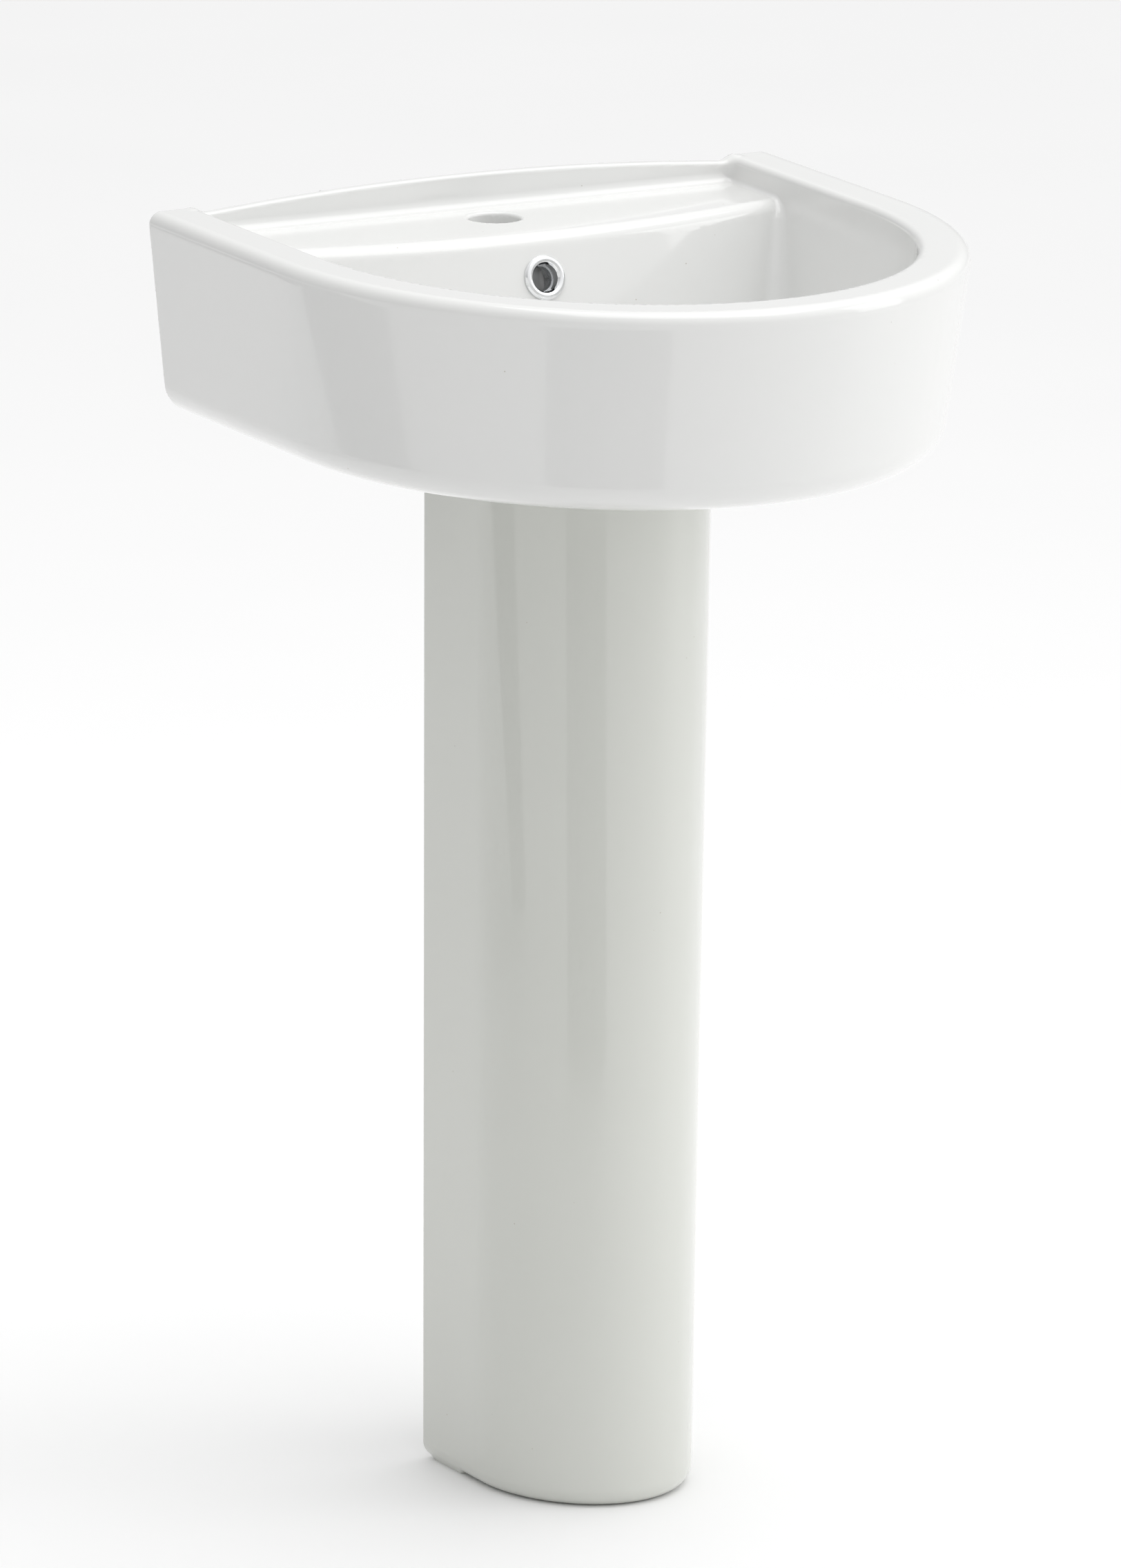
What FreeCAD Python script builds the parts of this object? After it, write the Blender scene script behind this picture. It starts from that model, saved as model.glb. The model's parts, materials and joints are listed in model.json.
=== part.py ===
"""Pedestal sink: a D-shaped ceramic basin on a ceramic pedestal, with its overflow trim,
push-to-close waste and bottle trap.  Millimetres, +Z up, floor at z = 0, front towards -Y,
wall plane at y = basin_depth / 2, middle of the basin at x = 0."""
import FreeCAD, Part
import math
import os

import Sketcher

Vector = FreeCAD.Vector
FULL_TURN = 360.0

DIMENSIONS = {
    # basin outline, seen from above
    "basin_depth": 455.0,
    "basin_half_width": 236.0,
    "side_length": 178.0,        # straight run of each side, from the wall
    "side_inset": 14.0,          # how far the sides draw in by the underside
    "front_inset": 24.0,
    # basin heights above the floor
    "rim_height": 850.0,
    "skirt_bottom": 713.0,
    "deck_height": 833.0,
    "bowl_floor": 716.0,
    "boss_bottom": 672.0,
    "pedestal_height": 700.0,
    # basin walls
    "rim_width": 34.5,
    "skirt_wall": 13.0,
    "rim_plate": 12.0,
    "back_wall": 14.0,
    "wall_trim": 2.0,            # extra depth cut off flat at the wall
    "deck_plate": 14.0,
    "bowl_wall": 12.0,
    "lip_width": 34.0,
    "lip_thickness": 12.0,
    "rim_round": 10.0,
    "inner_round": 5.0,
    "skirt_round": 20.0,
    # bowl
    "bowl_edge_depth": 74.5,     # wall to the bowl's back edge, at the sides
    "bowl_edge_bow": 30.0,       # how far that edge bows forward in the middle
    "bowl_side_draw": 26.0,      # how far the bowl closes in by its floor
    "bowl_front_draw": 30.0,
    "bowl_back_draw": 36.0,
    "bowl_round": 20.0,
    "dish_drop": 6.0,
    # back upstand
    "upstand_depth": 8.0,
    "upstand_low": 845.5,
    "upstand_bow": 10.0,
    # holes
    "tap_depth": 44.0,           # wall to tap hole
    "tap_radius": 17.5,
    "waste_depth": 195.0,        # wall to waste
    "waste_radius": 23.0,
    "boss_radius": 42.0,
    "bolt_spacing": 280.0,
    "bolt_height": 785.0,
    "bolt_radius": 7.0,
    "overflow_height": 805.0,
    "overflow_depth": 113.0,
    "overflow_tilt": 17.0,
    "overflow_radius": 11.0,
    "duct_rise": 22.0,           # top of the duct above the overflow's middle
    "duct_overlap": 4.0,         # how far it runs into the bowl's wall and its own boss
    "duct_width": 48.0,
    "duct_depth": 22.0,
    "channel_rise": 14.0,
    "channel_width": 26.0,
    "channel_depth": 12.0,
    "channel_bottom": 684.0,
    "channel_height": 14.0,
    # pedestal
    "pedestal_back": 95.0,       # wall to its open back
    "pedestal_side": 76.0,       # straight run of each side
    "pedestal_reach": 90.0,      # from there to the front
    "pedestal_half_floor": 75.0,
    "pedestal_half_top": 81.0,
    "pedestal_wall": 12.0,
    "pedestal_return": 16.0,
    "foot_round": 12.0,
    "foot_width": 22.0,
    "foot_height": 40.0,
    "lug_length": 34.0,
    "lug_thickness": 14.0,
    "lug_hole": 4.0,
    "lug_spacing": 96.0,
    # waste
    "tail_radius": 20.7,
    "tail_bore": 17.5,
    "tail_end": 640.0,
    "flange_radius": 32.0,
    "flange_top": 714.0,
    "flange_plate": 2.5,
    "washer_plate": 1.5,
    "mouth_radius": 22.5,
    "mouth_depth": 7.0,
    "collar_radius": 22.6,
    "collar_bottom": 703.0,
    "slot_width": 12.0,
    "hub_radius": 10.5,
    "hub_bottom": 684.0,
    "hub_height": 9.0,
    "rib_thickness": 3.5,
    "cone_washer": 8.0,
    "slip_washer": 1.5,
    "nut_height": 11.0,
    "nut_flats": 54.0,
    # plug and its push mechanism
    "cartridge_radius": 8.0,
    "cartridge_bore": 6.3,
    "cartridge_bottom": 675.0,
    "cartridge_top": 706.0,
    "cartridge_floor": 2.5,
    "cartridge_cap": 3.0,
    "stem_radius": 3.0,
    "stem_gap": 0.06,
    "piston_radius": 6.0,
    "piston_bottom": 689.5,
    "piston_height": 3.0,
    "plug_radius": 25.0,
    "plug_thickness": 4.0,
    "plug_crown": 3.2,
    "plug_neck": 6.5,
    "seal_radius": 18.2,
    "seal_section": 1.7,
    "spring_radius": 4.7,
    "spring_wire": 0.5,
    "spring_turns": 5.0,
    # overflow trim
    "trim_radius": 15.0,
    "trim_bore": 9.1,
    "trim_rise": 3.6,
    "sleeve_radius": 10.7,
    "sleeve_length": 10.0,
    "clip_wall": 0.6,
    "clip_length": 9.0,
    "clip_flare": 2.2,
    "clip_leg": 4.2,
    "clip_legs": 6.0,
    # bottle trap
    "dip_radius": 16.0,
    "dip_bore": 14.0,
    "dip_end": 506.0,
    "dip_flange": 20.4,
    "dip_flange_plate": 2.5,
    "joint_washer": 2.5,
    "union_radius": 26.0,
    "union_bottom": 627.0,
    "union_top": 651.0,
    "union_clearance": 0.3,
    "head_radius": 31.0,
    "head_wall": 3.0,
    "head_bottom": 541.0,
    "head_top": 604.0,
    "neck_radius": 20.0,
    "neck_top": 626.5,
    "outlet_height": 575.0,
    "outlet_radius": 20.0,
    "outlet_length": 26.0,
    "cup_radius": 30.5,
    "cup_bottom": 470.0,
    "cup_top": 554.0,
    "cup_collar": 37.0,
    "cup_collar_height": 24.0,
    "cup_seal": 2.0,
    "cup_floor": 3.0,
    "cup_round": 8.0,
    "grip_radius": 1.4,          # ribs round the hand-tightened nuts
    "grip_count": 16.0,
    "pipe_radius": 16.0,
    "pipe_bore": 14.0,
    "pipe_entry": 16.0,
    "spigot_radius": 15.8,       # the end of the pipe that goes into the trap
    "outlet_nut_radius": 25.0,
    "outlet_nut_length": 20.0,
    "outlet_nut_lip": 4.0,       # from the washer to the nut's outer end
}


class Size:
    """A number together with the spreadsheet expression that gives it."""

    def __init__(self, value, text):
        self.value = value
        self.text = text

    def joined(self, other, sign, value):
        return Size(value, f"({self.text} {sign} {text_of(other)})")

    def __add__(self, other):
        return self.joined(other, "+", self.value + number(other))

    def __radd__(self, other):
        return self + other

    def __sub__(self, other):
        return self.joined(other, "-", self.value - number(other))

    def __rsub__(self, other):
        return -self + other

    def __mul__(self, other):
        return self.joined(other, "*", self.value * number(other))

    def __rmul__(self, other):
        return self * other

    def __truediv__(self, other):
        return self.joined(other, "/", self.value / number(other))

    def __rtruediv__(self, other):
        return Size(other / self.value, f"({text_of(other)} / {self.text})")

    def __neg__(self):
        return Size(-self.value, f"(0 - {self.text})")


def number(size):
    return size.value if isinstance(size, Size) else float(size)


def text_of(size):
    return size.text if isinstance(size, Size) else repr(float(size))


class Sizes:
    """Every driving dimension, by name."""


def make_sheet(doc):
    sheet = doc.addObject("Spreadsheet::Sheet", "Sizes")
    sizes = Sizes()
    for row, (alias, value) in enumerate(DIMENSIONS.items(), start=1):
        sheet.set(f"A{row}", alias)
        sheet.set(f"B{row}", str(value))
        sheet.setAlias(f"B{row}", alias)
        setattr(sizes, alias, Size(value, f"Sizes.{alias}"))
    doc.recompute()
    return sizes


doc = FreeCAD.newDocument("pedestal_sink")
S = make_sheet(doc)

wall = S.basin_depth / 2
front_centre = wall - S.side_length
waste_y = wall - S.waste_depth
SUBPARTS = []


# ---------------------------------------------------------------- drawing helpers

def bind(thing, path, size):
    """Give a property its value, and tie it to the sheet when it comes from there."""
    if isinstance(size, Size):
        thing.setExpression(path, size.text)


def new_body(label, x=0.0, y=0.0, z=0.0, axis=None, angle=0.0):
    body = doc.addObject("PartDesign::Body", label)
    body.Label = label
    rotation = FreeCAD.Rotation(axis or Vector(0, 0, 1), number(angle))
    body.Placement = FreeCAD.Placement(Vector(number(x), number(y), number(z)), rotation)
    for path, size in (("x", x), ("y", y), ("z", z)):
        bind(body, f"Placement.Base.{path}", size)
    bind(body, "Placement.Rotation.Angle", angle)
    SUBPARTS.append(body)
    return body


def new_sketch(body, name, role="XY_Plane", height=0.0):
    plane = next(f for f in body.Origin.OriginFeatures if f.Role == role)
    sketch = body.newObject("Sketcher::SketchObject", name)
    sketch.AttachmentSupport = (plane, [""])
    sketch.MapMode = "FlatFace"
    sketch.AttachmentOffset = FreeCAD.Placement(Vector(0, 0, number(height)), FreeCAD.Rotation())
    bind(sketch, "AttachmentOffset.Base.z", height)
    return sketch


def fix_point(sketch, geometry, end, point):
    for kind, size in zip(("DistanceX", "DistanceY"), point):
        place = sketch.addConstraint(Sketcher.Constraint(kind, -1, 1, geometry, end, number(size)))
        bind(sketch, f"Constraints[{place}]", size)


def point_of(point):
    return Vector(number(point[0]), number(point[1]), 0)


def polygon(sketch, points):
    """Closed outline of straight edges, every corner held by two dimensions."""
    first = sketch.GeometryCount
    count = len(points)
    for i, point in enumerate(points):
        sketch.addGeometry(Part.LineSegment(point_of(point), point_of(points[(i + 1) % count])))
    for i, point in enumerate(points):
        fix_point(sketch, first + i, 1, point)
        sketch.addConstraint(
            Sketcher.Constraint("Coincident", first + i, 2, first + (i + 1) % count, 1))


def circle(sketch, x, y, radius):
    place = sketch.addGeometry(
        Part.Circle(Vector(number(x), number(y), 0), Vector(0, 0, 1), number(radius)))
    fix_point(sketch, place, 3, (x, y))
    held = sketch.addConstraint(Sketcher.Constraint("Radius", place, number(radius)))
    bind(sketch, f"Constraints[{held}]", radius)


def d_outline(sketch, half, back, centre, reach, bow=None):
    """Straight sides, half-ellipse front, and a back that is straight or bows forward."""
    first = sketch.GeometryCount
    left_back = (-half, back)
    right_back = (half, back)
    nose = centre - reach
    ellipse = Part.Ellipse(
        point_of((0, nose)), point_of((half, centre)), point_of((0, centre)))
    quarter = math.pi / 2
    sketch.addGeometry(Part.LineSegment(point_of(left_back), point_of((-half, centre))))
    sketch.addGeometry(Part.ArcOfEllipse(ellipse, -quarter, quarter))
    sketch.addGeometry(Part.LineSegment(point_of((half, centre)), point_of(right_back)))
    if bow is None:
        sketch.addGeometry(Part.LineSegment(point_of(right_back), point_of(left_back)))
        last_start, last_end = 1, 2
    else:
        sketch.addGeometry(Part.Arc(
            point_of(left_back), point_of((0, back - bow)), point_of(right_back)))
        last_start, last_end = 2, 1
    side_a, nose_arc, side_b, rear = first, first + 1, first + 2, first + 3
    sketch.addConstraint(Sketcher.Constraint("Coincident", side_a, 2, nose_arc, 1))
    sketch.addConstraint(Sketcher.Constraint("Coincident", nose_arc, 2, side_b, 1))
    sketch.addConstraint(Sketcher.Constraint("Coincident", side_b, 2, rear, last_start))
    sketch.addConstraint(Sketcher.Constraint("Coincident", rear, last_end, side_a, 1))
    sketch.exposeInternalGeometry(nose_arc)
    axis_line = rear + 1
    fix_point(sketch, nose_arc, 3, (0, centre))
    fix_point(sketch, axis_line, 1, (0, nose))
    fix_point(sketch, nose_arc, 1, (-half, centre))
    fix_point(sketch, side_a, 1, left_back)
    fix_point(sketch, side_b, 2, right_back)
    place = sketch.addConstraint(
        Sketcher.Constraint("DistanceY", -1, 1, nose_arc, 2, number(centre)))
    bind(sketch, f"Constraints[{place}]", centre)
    if bow is not None:
        radius = (half * half + bow * bow) / (bow * 2)
        held = sketch.addConstraint(Sketcher.Constraint("Radius", rear, number(radius)))
        bind(sketch, f"Constraints[{held}]", radius)


# ---------------------------------------------------------------- feature helpers

def loft(body, name, sections, cut=False):
    feature = body.newObject(f"PartDesign::{'Subtractive' if cut else 'Additive'}Loft", name)
    feature.Profile = sections[0]
    feature.Sections = sections[1:]
    feature.Ruled = True
    return feature


def pad(body, name, sketch, length, middle=False):
    feature = body.newObject("PartDesign::Pad", name)
    feature.Profile = sketch
    feature.Length = number(length)
    bind(feature, "Length", length)
    feature.Midplane = middle
    return feature


def pocket(body, name, sketch, length, middle=False, reverse=False):
    feature = body.newObject("PartDesign::Pocket", name)
    feature.Profile = sketch
    feature.Length = number(length)
    bind(feature, "Length", length)
    feature.Midplane = middle
    feature.Reversed = reverse
    return feature


def turned(body, name, points, cut=False):
    """Turn an outline of (radius, height) points about the body's Z axis."""
    sketch = new_sketch(body, f"{name}_outline", "XZ_Plane")
    polygon(sketch, points)
    feature = body.newObject(f"PartDesign::{'Groove' if cut else 'Revolution'}", name)
    feature.Profile = sketch
    feature.ReferenceAxis = (sketch, ["V_Axis"])
    feature.Angle = FULL_TURN
    return feature


def cylinder(body, name, centre, radius, height, cut=False, lean=None):
    """A round bar from the given point, upright or leaning about the X axis."""
    kind = "Subtractive" if cut else "Additive"
    feature = body.newObject(f"PartDesign::{kind}Cylinder", name)
    feature.Radius = number(radius)
    feature.Height = number(height)
    bind(feature, "Radius", radius)
    bind(feature, "Height", height)
    turn = FreeCAD.Rotation(Vector(1, 0, 0), number(lean or 0.0))
    feature.Placement = FreeCAD.Placement(Vector(*[number(c) for c in centre]), turn)
    for path, size in zip("xyz", centre):
        bind(feature, f"Placement.Base.{path}", size)
    if lean is not None:
        bind(feature, "Placement.Rotation.Angle", lean)
    return feature


def around(body, name, feature, count):
    """Repeat a feature about the body's Z axis."""
    pattern = body.newObject("PartDesign::PolarPattern", name)
    pattern.Originals = [feature]
    axis = next(f for f in body.Origin.OriginFeatures if f.Role == "Z_Axis")
    pattern.Axis = (axis, [""])
    pattern.Angle = FULL_TURN
    pattern.Occurrences = int(number(count))
    bind(pattern, "Occurrences", count)
    body.Tip = pattern
    return pattern


# ---------------------------------------------------------------- basin

def arc_steps(angles):
    """(across, along) shares of a round's radius, as the angle runs from wall to flat."""
    for angle in angles:
        turn = math.radians(angle)
        yield 1 - math.cos(turn), 1 - math.sin(turn)


FLAT_TO_WALL = (90, 60, 30, 0)
WALL_TO_FLAT = (0, 30, 60, 90)


def skin_section(body, name, height, depth, back):
    """The basin's outline at a height, moved in by a depth below its skin."""
    shoulder = S.rim_height - S.rim_round
    share = (shoulder - height) / (shoulder - S.skirt_bottom)
    half = S.basin_half_width - S.side_inset * share - depth
    reach = front_centre + wall - S.front_inset * share - depth
    sketch = new_sketch(body, name, "XY_Plane", height)
    d_outline(sketch, half, back, front_centre, reach)
    return sketch


def bowl_section(body, name, height, depth):
    """The bowl's outline at a height, moved in by a depth inside its wall."""
    share = (S.deck_height - height) / (S.deck_height - S.bowl_floor)
    half = S.basin_half_width - S.rim_width - S.bowl_side_draw * share - depth
    reach = front_centre + wall - S.rim_width - S.bowl_front_draw * share - depth
    back = wall - S.bowl_edge_depth - S.bowl_back_draw * share - depth
    sketch = new_sketch(body, name, "XY_Plane", height)
    d_outline(sketch, half, back, front_centre, reach, bow=S.bowl_edge_bow)
    return sketch


def basin_skin(body):
    """The outside, drawn a little too deep and then cut flat where it meets the wall."""
    behind = wall + S.wall_trim
    sections = []
    for i, (across, along) in enumerate(arc_steps(FLAT_TO_WALL)):
        height = S.skirt_bottom + S.skirt_round * along
        sections.append(skin_section(body, f"skirt_{i}", height, S.skirt_round * across, behind))
    for i, (across, along) in enumerate(arc_steps(WALL_TO_FLAT)):
        height = S.rim_height - S.rim_round * along
        sections.append(skin_section(body, f"rim_{i}", height, S.rim_round * across, behind))
    loft(body, "skin", sections)
    half = S.basin_half_width + S.wall_trim
    sketch = new_sketch(body, "wall_plane", "XZ_Plane", -behind)
    polygon(sketch, [(-half, S.boss_bottom), (half, S.boss_bottom),
                     (half, S.rim_height + S.wall_trim), (-half, S.rim_height + S.wall_trim)])
    pocket(body, "wall_side", sketch, S.wall_trim, reverse=True)


def basin_hollow(body):
    """The open underside, with a lip turned in round its mouth."""
    inner_back = wall - S.back_wall
    lip_top = S.skirt_bottom + S.lip_thickness
    mouth = [skin_section(body, f"mouth_{i}", height, S.lip_width, inner_back)
             for i, height in enumerate((S.skirt_bottom - 1, lip_top + 1))]
    loft(body, "mouth", mouth, cut=True)
    room = [skin_section(body, f"room_{i}", height, S.skirt_wall, inner_back)
            for i, height in enumerate((lip_top, S.rim_height - S.rim_plate))]
    return loft(body, "room", room, cut=True)


def bowl_shell(body):
    """The bowl's wall: the bowl's own outline grown outward by the wall's thickness."""
    sections = []
    low = S.bowl_floor - S.bowl_wall
    for i, (across, along) in enumerate(arc_steps(FLAT_TO_WALL)):
        height = low + S.bowl_round * along
        depth = S.bowl_round * across - S.bowl_wall
        sections.append(bowl_section(body, f"shell_{i}", height, depth))
    top = S.rim_height - S.rim_plate / 2
    sections.append(bowl_section(body, "shell_top", top, -S.bowl_wall))
    return loft(body, "shell", sections)


def bowl_space(body):
    sections = []
    for i, (across, along) in enumerate(arc_steps(FLAT_TO_WALL)):
        height = S.bowl_floor + S.bowl_round * along
        sections.append(bowl_section(body, f"bowl_{i}", height, S.bowl_round * across))
    sections.append(bowl_section(body, "bowl_top", S.deck_height + 0.5, 0.0))
    return loft(body, "bowl", sections, cut=True)


def bowl_dish(body):
    """The fall of the bowl's floor towards the waste."""
    seat = S.flange_radius + 2
    bow = 2.0
    foot = new_sketch(body, "dish_foot", "XY_Plane", S.bowl_floor - S.dish_drop)
    d_outline(foot, seat, waste_y + seat + bow, waste_y, seat + bow, bow)
    rim = bowl_section(body, "dish_rim", S.bowl_floor, S.bowl_round)
    return loft(body, "dish", [foot, rim], cut=True)


def deck_section(body, name, height, depth, back):
    half = S.basin_half_width - S.rim_width - depth
    reach = front_centre + wall - S.rim_width - depth
    sketch = new_sketch(body, name, "XY_Plane", height)
    d_outline(sketch, half, back, front_centre, reach)
    return sketch


def deck_recess(body):
    """Everything above the tap deck, out to the rim's rounded inner edge."""
    beyond = wall + 1
    sections = [deck_section(body, "deck_face", S.deck_height, 0.0, beyond)]
    for i, (across, along) in enumerate(arc_steps(WALL_TO_FLAT)):
        height = S.rim_height - S.inner_round * along
        depth = -S.inner_round * across
        sections.append(deck_section(body, f"inner_{i}", height, depth, beyond))
    above = S.rim_height + 20
    sections.append(deck_section(body, "above", above, -S.inner_round, beyond))
    return loft(body, "recess", sections, cut=True)


def deck_plate(body):
    """The slab behind the bowl that carries the tap."""
    half = S.basin_half_width - S.skirt_wall
    front = wall - S.bowl_edge_depth - S.bowl_edge_bow - S.bowl_wall
    sketch = new_sketch(body, "deck_slab", "XY_Plane", S.deck_height - S.deck_plate)
    polygon(sketch, [(-half, front), (half, front), (half, wall), (-half, wall)])
    return pad(body, "deck", sketch, S.rim_height - S.deck_height + S.deck_plate - S.rim_plate / 2)


def upstand(body):
    """The low wall along the back, arched higher in the middle, with a coved foot."""
    half = S.basin_half_width - S.rim_width + S.inner_round
    foot = S.deck_height - 1
    sketch = new_sketch(body, "upstand_face", "XZ_Plane", -wall)
    radius = (half * half + S.upstand_bow * S.upstand_bow) / (S.upstand_bow * 2)
    left, right = (-half, S.upstand_low), (half, S.upstand_low)
    crown = (0.0, S.upstand_low + S.upstand_bow)
    sketch.addGeometry(Part.LineSegment(point_of((-half, foot)), point_of((half, foot))))
    sketch.addGeometry(Part.LineSegment(point_of((half, foot)), point_of(right)))
    sketch.addGeometry(Part.Arc(point_of(right), point_of(crown), point_of(left)))
    sketch.addGeometry(Part.LineSegment(point_of(left), point_of((-half, foot))))
    for a, a_end, b, b_end in ((0, 2, 1, 1), (1, 2, 2, 1), (2, 2, 3, 1), (3, 2, 0, 1)):
        sketch.addConstraint(Sketcher.Constraint("Coincident", a, a_end, b, b_end))
    fix_point(sketch, 0, 1, (-half, foot))
    fix_point(sketch, 0, 2, (half, foot))
    fix_point(sketch, 2, 1, right)
    fix_point(sketch, 2, 2, left)
    held = sketch.addConstraint(Sketcher.Constraint("Radius", 2, number(radius)))
    bind(sketch, f"Constraints[{held}]", radius)
    return pad(body, "upstand", sketch, S.upstand_depth)


def overflow_point(along, behind):
    """A point of the middle plane, measured down the bowl's back wall and in behind it."""
    lean = math.radians(S.overflow_tilt.value)
    y = wall - S.overflow_depth - along * math.sin(lean) + behind * math.cos(lean)
    z = S.overflow_height - along * math.cos(lean) - behind * math.sin(lean)
    return y, z


def duct_outline(body, name, start, near, far, low_front, low, high):
    """Side view of the overflow's duct: down behind the bowl, then forward to the waste."""
    lean = math.radians(S.overflow_tilt.value)
    rise = math.tan(lean)
    sketch = new_sketch(body, name, "YZ_Plane")
    near_top = overflow_point(start, near)
    far_top = overflow_point(start, far)
    far_low = (far_top[0] - (far_top[1] - low) * rise, low)
    near_low = (near_top[0] - (near_top[1] - high) * rise, high)
    polygon(sketch, [near_top, far_top, far_low, (low_front, low), (low_front, high), near_low])
    return sketch


def overflow_duct(body):
    sketch = duct_outline(
        body, "duct_side", -S.duct_rise, S.bowl_wall - S.duct_overlap,
        S.bowl_wall + S.duct_depth, waste_y + S.boss_radius / 2, S.boss_bottom,
        S.bowl_floor - S.dish_drop)
    return pad(body, "duct", sketch, S.duct_width, middle=True)


def overflow_channel(body):
    sketch = duct_outline(
        body, "channel_side", -S.channel_rise, S.bowl_wall, S.bowl_wall + S.channel_depth,
        waste_y + S.waste_radius / 2, S.channel_bottom, S.channel_bottom + S.channel_height)
    return pocket(body, "channel", sketch, S.channel_width, middle=True)


def pedestal_seat(body):
    """Rib under the bowl that stands on the pedestal's top edge."""
    sketch = new_sketch(body, "seat_ring", "XY_Plane", S.pedestal_height)
    back = wall - S.pedestal_back
    centre = back - S.pedestal_side
    for inset in (0.0, S.pedestal_wall):
        d_outline(sketch, S.pedestal_half_top - inset, back - inset, centre,
                  S.pedestal_reach - inset)
    return pad(body, "seat", sketch, S.bowl_floor - S.pedestal_height)


def basin_holes(body):
    cylinder(body, "tap_hole", (0, wall - S.tap_depth, S.deck_height - S.deck_plate - 1),
             S.tap_radius, S.deck_plate + 2, cut=True)
    cylinder(body, "waste_hole", (0, waste_y, S.boss_bottom - 1), S.waste_radius,
             S.bowl_floor - S.boss_bottom + 2, cut=True)
    mouth_y, mouth_z = overflow_point(0.0, -S.bowl_wall)
    cylinder(body, "overflow_hole", (0, mouth_y, mouth_z), S.overflow_radius,
             S.bowl_wall * 2 + 3, cut=True, lean=-S.overflow_tilt - 90)
    for side, name in ((-1, "left_bolt_hole"), (1, "right_bolt_hole")):
        cylinder(body, name, (S.bolt_spacing * side / 2, wall - S.back_wall - 1, S.bolt_height),
                 S.bolt_radius, S.back_wall + 2, cut=True, lean=-90.0)


def make_basin():
    body = new_body("basin")
    basin_skin(body)
    basin_hollow(body)
    bowl_shell(body)
    deck_plate(body)
    pedestal_seat(body)
    cylinder(body, "boss", (0, waste_y, S.boss_bottom), S.boss_radius,
             S.bowl_floor - S.boss_bottom)
    overflow_duct(body)
    deck_recess(body)
    bowl_space(body)
    bowl_dish(body)
    overflow_channel(body)
    upstand(body)
    basin_holes(body)


# ---------------------------------------------------------------- pedestal

def pedestal_section(body, name, height, depth, back):
    share = height / S.pedestal_height
    half = S.pedestal_half_floor + (S.pedestal_half_top - S.pedestal_half_floor) * share - depth
    centre = wall - S.pedestal_back - S.pedestal_side
    sketch = new_sketch(body, name, "XY_Plane", height)
    d_outline(sketch, half, back, centre, S.pedestal_reach - depth)
    return sketch


def make_pedestal():
    body = new_body("pedestal")
    back = wall - S.pedestal_back
    inner_back = back - S.pedestal_wall
    skin = []
    for i, (across, along) in enumerate(arc_steps(FLAT_TO_WALL)):
        height = S.foot_round * along
        skin.append(pedestal_section(body, f"foot_{i}", height, S.foot_round * across, back))
    skin.append(pedestal_section(body, "top", S.pedestal_height, 0.0, back))
    loft(body, "skin", skin)
    steps = ((-1.0, S.foot_width), (S.foot_height, S.pedestal_wall),
             (S.pedestal_height + 1, S.pedestal_wall))
    hollow = [pedestal_section(body, f"hollow_{i}", height, depth, inner_back)
              for i, (height, depth) in enumerate(steps)]
    loft(body, "hollow", hollow, cut=True)

    slot_half = S.pedestal_half_floor - S.pedestal_wall - S.pedestal_return
    slot = new_sketch(body, "slot_outline", "XY_Plane", S.pedestal_height + 1)
    polygon(slot, [(-slot_half, inner_back - 1), (slot_half, inner_back - 1),
                   (slot_half, back + 1), (-slot_half, back + 1)])
    pocket(body, "slot", slot, S.pedestal_height + 2)

    lugs = new_sketch(body, "lug_outline", "XY_Plane")
    outer = S.pedestal_half_floor - S.pedestal_wall / 2
    inner = outer - S.lug_length
    for side in (-1, 1):
        near, far = (inner, outer) if side > 0 else (-outer, -inner)
        polygon(lugs, [(near, inner_back - S.lug_length), (far, inner_back - S.lug_length),
                       (far, inner_back + 1), (near, inner_back + 1)])
    pad(body, "lugs", lugs, S.lug_thickness)
    for side, name in ((-1, "left_screw_hole"), (1, "right_screw_hole")):
        cylinder(body, name, (S.lug_spacing * side / 2, inner_back - S.lug_length / 2, -1.0),
                 S.lug_hole, S.lug_thickness + 2, cut=True)


# ---------------------------------------------------------------- turned pieces

def make_turned(label, points, **place):
    body = new_body(label, **place)
    turned(body, "turned", points)
    return body


def make_ring(label, inner, outer, low, high, **place):
    return make_turned(
        label, [(inner, low), (outer, low), (outer, high), (inner, high)], **place)


AT_WASTE = {"y": waste_y}
AT_OUTLET = {"y": waste_y, "z": S.outlet_height, "axis": Vector(1, 0, 0), "angle": -90.0}


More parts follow.
